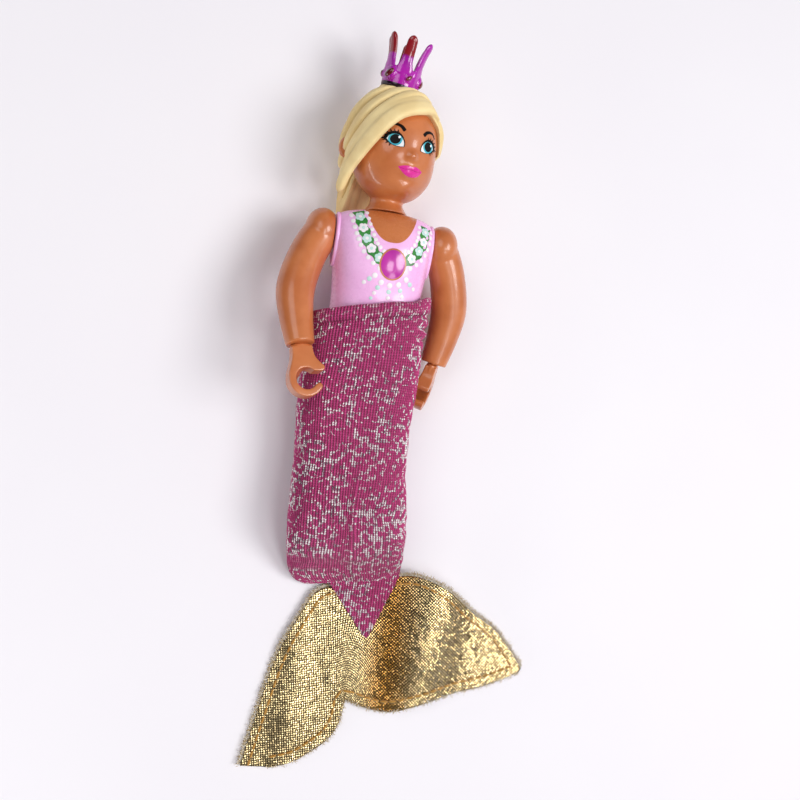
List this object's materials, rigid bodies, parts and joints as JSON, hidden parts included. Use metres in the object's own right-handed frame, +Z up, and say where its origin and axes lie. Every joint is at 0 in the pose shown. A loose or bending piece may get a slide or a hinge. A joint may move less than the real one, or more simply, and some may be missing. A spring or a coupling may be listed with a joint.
{
  "type": "mermaid doll",
  "caption": "Jointed fashion doll with moulded hair and a pull-off crown, wearing a slip-on knitted mermaid tail that ends in a two-lobed gold cloth fin.",
  "frame": {"origin": "on the table, straight under the middle of the hip axle, in the flat underside of the upper tail", "axes": "+X to the doll's left, +Y up the body to the head and crown, +Z up from the table through the chest; the doll lies on its back"},
  "size_m": [0.0742, 0.1733, 0.0262],
  "materials": {
    "skin": "warm tan moulded plastic with a satin gloss and printed face features",
    "top": "pale pink glossy moulded tank top with a printed neckline",
    "hair": "matte blonde moulded plastic with swept grooves",
    "crown": "glossy purple translucent plastic, dark red at the prong tips",
    "inner_plastic": "plain off-white moulded plastic, hidden inside",
    "pin_steel": "plain drawn steel pin",
    "knit": "magenta rib knit printed with a worn net of silver foil",
    "gold_cloth": "gold metallic woven cloth with topstitching and frayed raw edges"
  },
  "bodies": {
    "torso": {"torso_front_shell": "top", "torso_back_shell": "top", "hip_block": "inner_plastic", "hip_axle": "pin_steel", "tail_hem": "knit"},
    "head": {"head": "skin", "hair": "hair"},
    "crown": {"crown": "crown"},
    "arm_right": {"arm_right": "skin"},
    "arm_left": {"arm_left": "skin"},
    "hand_right": {"hand_right": "skin"},
    "hand_left": {"hand_left": "skin"},
    "thigh_left": {"thigh_left": "skin", "knee_pin_left": "pin_steel", "tail_sleeve_upper": "knit"},
    "thigh_right": {"thigh_right": "skin", "knee_pin_right": "pin_steel"},
    "shin_left": {"shin_left": "skin", "tail_sleeve_lower": "knit"},
    "shin_right": {"shin_right": "skin"},
    "fin": {"tail_front_point": "knit", "fin_front_ply": "gold_cloth", "fin_back_ply": "gold_cloth"}
  },
  "joints": [
    {"name": "neck_turn", "type": "hinge", "parent": "torso", "child": "head", "pos_m": [0, 0.0289, 0.013], "axis": [0, 1, 0], "range_deg": [-36, 8]},
    {"name": "crown_pull", "type": "slide", "parent": "head", "child": "crown", "axis": [0.1469, 0.9623, 0.2291], "range_m": [0, 0.005]},
    {"name": "shoulder_right", "type": "hinge", "parent": "torso", "child": "arm_right", "pos_m": [-0.0116, 0.0233, 0.013], "axis": [-1, 0, 0], "range_deg": [-70, 150]},
    {"name": "shoulder_left", "type": "hinge", "parent": "torso", "child": "arm_left", "pos_m": [0.0116, 0.0233, 0.013], "axis": [-1, 0, 0], "range_deg": [-45, 175]},
    {"name": "wrist_right", "type": "hinge", "parent": "arm_right", "child": "hand_right", "pos_m": [-0.017, -0.00344, 0.01989], "axis": [-0.2079, 0.9531, -0.22], "continuous": true},
    {"name": "wrist_left", "type": "hinge", "parent": "arm_left", "child": "hand_left", "pos_m": [0.017, -0.00354, 0.00653], "axis": [0.2079, 0.9448, 0.2532], "continuous": true},
    {"name": "hip_left", "type": "hinge", "parent": "torso", "child": "thigh_left", "pos_m": [0.0061, 0, 0.0105], "axis": [-1, 0, 0], "range_deg": [-5, 75], "deforming": ["tail_hem", "tail_sleeve_upper"]},
    {"name": "hip_right", "type": "hinge", "parent": "torso", "child": "thigh_right", "pos_m": [-0.0061, 0, 0.0105], "axis": [-1, 0, 0], "range_deg": [-5, 75]},
    {"name": "knee_left", "type": "hinge", "parent": "thigh_left", "child": "shin_left", "pos_m": [0.0061, -0.023, 0.0105], "axis": [1, 0, 0], "range_deg": [0, 75], "deforming": ["tail_sleeve_lower"]},
    {"name": "knee_right", "type": "hinge", "parent": "thigh_right", "child": "shin_right", "pos_m": [-0.0061, -0.023, 0.0105], "axis": [1, 0, 0], "range_deg": [0, 75]},
    {"name": "fin_flex", "type": "hinge", "parent": "shin_left", "child": "fin", "pos_m": [0.0052, -0.058, 0.0012], "axis": [-0.9708, -0.2399, 0], "range_deg": [-25, 60], "stiffness_Nm_per_rad": 0.001}
  ],
  "couplings": [
    {"joint": "hip_right", "follows": "hip_left", "ratio": 1},
    {"joint": "knee_right", "follows": "knee_left", "ratio": 1}
  ]
}
